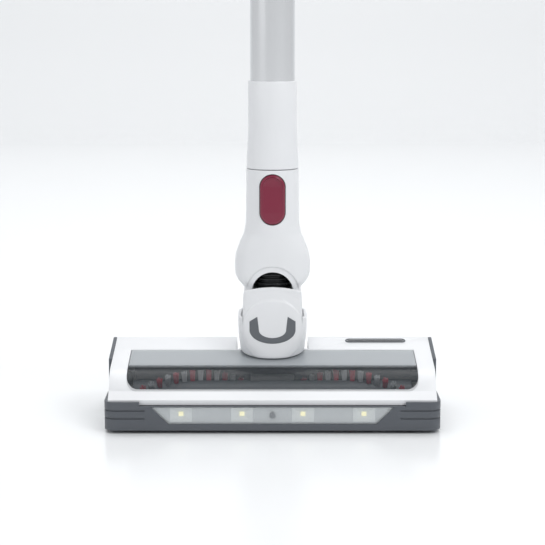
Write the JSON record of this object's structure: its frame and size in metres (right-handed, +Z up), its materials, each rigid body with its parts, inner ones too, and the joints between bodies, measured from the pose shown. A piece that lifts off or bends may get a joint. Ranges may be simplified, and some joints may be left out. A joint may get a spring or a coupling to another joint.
{
  "type": "cordless stick vacuum",
  "caption": "Cordless stick vacuum: wide floor head with clear brush window and lamp bar, swivel neck, straight metal wand, and hand-held unit with dust bin, motor and battery.",
  "frame": {"origin": "on the floor, under the axis of the upright wand", "axes": "+X to the right seen from the front, +Y to the user behind the head, +Z up along the wand"},
  "size_m": [0.252, 0.226, 1.05],
  "materials": {
    "white_abs": "satin",
    "smoked_window": "gloss",
    "grey_abs": "matte",
    "clear_lens": "gloss",
    "silvered_plastic": "satin",
    "circuit_board": "matte",
    "bearing_plastic": "satin",
    "motor_steel": "satin",
    "belt_rubber": "matte",
    "steel": "satin",
    "brush_plastic": "matte",
    "red_bristle": "matte",
    "grey_bristle": "matte",
    "black_plastic": "gloss",
    "wheel_rubber": "matte",
    "bellows_rubber": "satin",
    "berry_abs": "satin",
    "aluminium_tube": "satin",
    "clear_bin": "gloss",
    "filter_foam": "matte",
    "filter_paper": "matte",
    "motor_aluminium": "satin",
    "grip_rubber": "matte",
    "cell_wrap": "satin"
  },
  "bodies": {
    "head": {"head_cover": "white_abs", "brush_window": "smoked_window", "head_base": "grey_abs", "front_bumper": "grey_abs", "lamp_lens": "clear_lens", "lamp_reflector": "silvered_plastic", "lamp_board": "circuit_board", "side_caps": "grey_abs", "brush_bearings": "bearing_plastic", "brush_motor": "motor_steel", "drive_belt": "belt_rubber", "brush_chamber": "grey_abs", "wheel_axles": "steel", "screws": "steel"},
    "brush": {"brush_core": "brush_plastic", "bristles_red": "red_bristle", "bristles_grey": "grey_bristle", "brush_pulley": "bearing_plastic"},
    "motor_pulley": {"motor_pulley": "bearing_plastic"},
    "brush_catch": {"brush_catch": "black_plastic"},
    "front_wheel_left": {"front_wheel_left": "wheel_rubber"},
    "front_wheel_right": {"front_wheel_right": "wheel_rubber"},
    "rear_wheel_left": {"rear_wheel_left": "wheel_rubber"},
    "rear_wheel_right": {"rear_wheel_right": "wheel_rubber"},
    "neck": {"neck_yoke": "white_abs", "neck_inlay": "grey_abs", "neck_bellows": "bellows_rubber", "pitch_pins": "steel", "swivel_pins": "steel"},
    "socket": {"wand_socket": "white_abs"},
    "wand_button": {"wand_button": "berry_abs"},
    "wand": {"wand_tube": "aluminium_tube", "wand_sleeve": "white_abs", "wand_collar": "white_abs", "wand_lead": "black_plastic"},
    "handset": {"inlet_duct": "white_abs", "dust_bin": "clear_bin", "bin_collar": "grey_abs", "lid_hinge_pin": "steel", "mesh_shroud": "grey_abs", "cyclone_cone": "grey_abs", "foam_filter": "filter_foam", "motor_barrel": "white_abs", "barrel_front_cap": "grey_abs", "display_lens": "black_plastic", "exhaust_cap": "grey_abs", "exhaust_filter": "filter_paper", "suction_motor": "motor_steel", "control_board": "circuit_board", "handle": "white_abs", "grip_pad": "grip_rubber"},
    "hand_button": {"hand_button": "berry_abs"},
    "bin_lid": {"bin_lid": "clear_bin"},
    "bin_catch": {"bin_catch": "berry_abs"},
    "impeller": {"impeller": "motor_aluminium"},
    "trigger": {"trigger": "berry_abs"},
    "mode_button": {"mode_button": "berry_abs"},
    "battery": {"battery_case": "grey_abs", "battery_cells": "cell_wrap"},
    "battery_latch": {"battery_latch": "berry_abs"}
  },
  "joints": [
    {"name": "brush_spin", "type": "hinge", "parent": "head", "child": "brush", "pos_m": [0, -0.033, 0.021], "axis": [1, 0, 0], "continuous": true},
    {"name": "motor_pulley_spin", "type": "hinge", "parent": "head", "child": "motor_pulley", "pos_m": [0, 0.0055, 0.024], "axis": [1, 0, 0], "continuous": true},
    {"name": "brush_catch_slide", "type": "slide", "parent": "head", "child": "brush_catch", "axis": [1, 0, 0], "range_m": [0, 0.012]},
    {"name": "front_wheel_left_spin", "type": "hinge", "parent": "head", "child": "front_wheel_left", "pos_m": [-0.101, -0.057, 0.005], "axis": [1, 0, 0], "continuous": true},
    {"name": "front_wheel_right_spin", "type": "hinge", "parent": "head", "child": "front_wheel_right", "pos_m": [0.101, -0.057, 0.005], "axis": [1, 0, 0], "continuous": true},
    {"name": "rear_wheel_left_spin", "type": "hinge", "parent": "head", "child": "rear_wheel_left", "pos_m": [-0.101, 0.0315, 0.009], "axis": [1, 0, 0], "continuous": true},
    {"name": "rear_wheel_right_spin", "type": "hinge", "parent": "head", "child": "rear_wheel_right", "pos_m": [0.101, 0.0315, 0.009], "axis": [1, 0, 0], "continuous": true},
    {"name": "neck_pitch", "type": "hinge", "parent": "head", "child": "neck", "pos_m": [0, 0.014, 0.027], "axis": [-1, 0, 0], "range_deg": [0, 80]},
    {"name": "neck_swivel", "type": "hinge", "parent": "neck", "child": "socket", "pos_m": [0, 0, 0.092], "axis": [0, 1, 0], "range_deg": [-40, 40], "deforming": ["neck_bellows"]},
    {"name": "wand_button_press", "type": "slide", "parent": "socket", "child": "wand_button", "axis": [0, 1, 0], "range_m": [0, 0.002], "stiffness_N_per_m": 600},
    {"name": "wand_pull", "type": "slide", "parent": "socket", "child": "wand", "axis": [0, 0, 1], "range_m": [0, 0.022]},
    {"name": "handset_pull", "type": "slide", "parent": "wand", "child": "handset", "axis": [0, 0, 1], "range_m": [0, 0.022]},
    {"name": "hand_button_press", "type": "slide", "parent": "handset", "child": "hand_button", "axis": [0, 1, 0], "range_m": [0, 0.0018], "stiffness_N_per_m": 600},
    {"name": "bin_lid_swing", "type": "hinge", "parent": "handset", "child": "bin_lid", "pos_m": [-0.045, -0.066, 0.843], "axis": [0, 1, 0], "range_deg": [0, 95]},
    {"name": "bin_catch_slide", "type": "slide", "parent": "handset", "child": "bin_catch", "axis": [1, 0, 0], "range_m": [0, 0.0034], "stiffness_N_per_m": 600},
    {"name": "impeller_spin", "type": "hinge", "parent": "handset", "child": "impeller", "pos_m": [0, 0, 1.005], "axis": [0, 1, 0], "continuous": true},
    {"name": "trigger_pull", "type": "slide", "parent": "handset", "child": "trigger", "axis": [0, 1, 0], "range_m": [0, 0.003], "stiffness_N_per_m": 600},
    {"name": "mode_press", "type": "slide", "parent": "handset", "child": "mode_button", "axis": [0, 0, -1], "range_m": [0, 0.0015], "stiffness_N_per_m": 1500},
    {"name": "battery_slide", "type": "slide", "parent": "handset", "child": "battery", "axis": [0, 0, -1], "range_m": [0, 0.04]},
    {"name": "battery_latch_press", "type": "slide", "parent": "battery", "child": "battery_latch", "axis": [0, -1, 0], "range_m": [0, 0.0014], "stiffness_N_per_m": 600}
  ],
  "couplings": [
    {"joint": "motor_pulley_spin", "follows": "brush_spin", "ratio": 1.5}
  ]
}
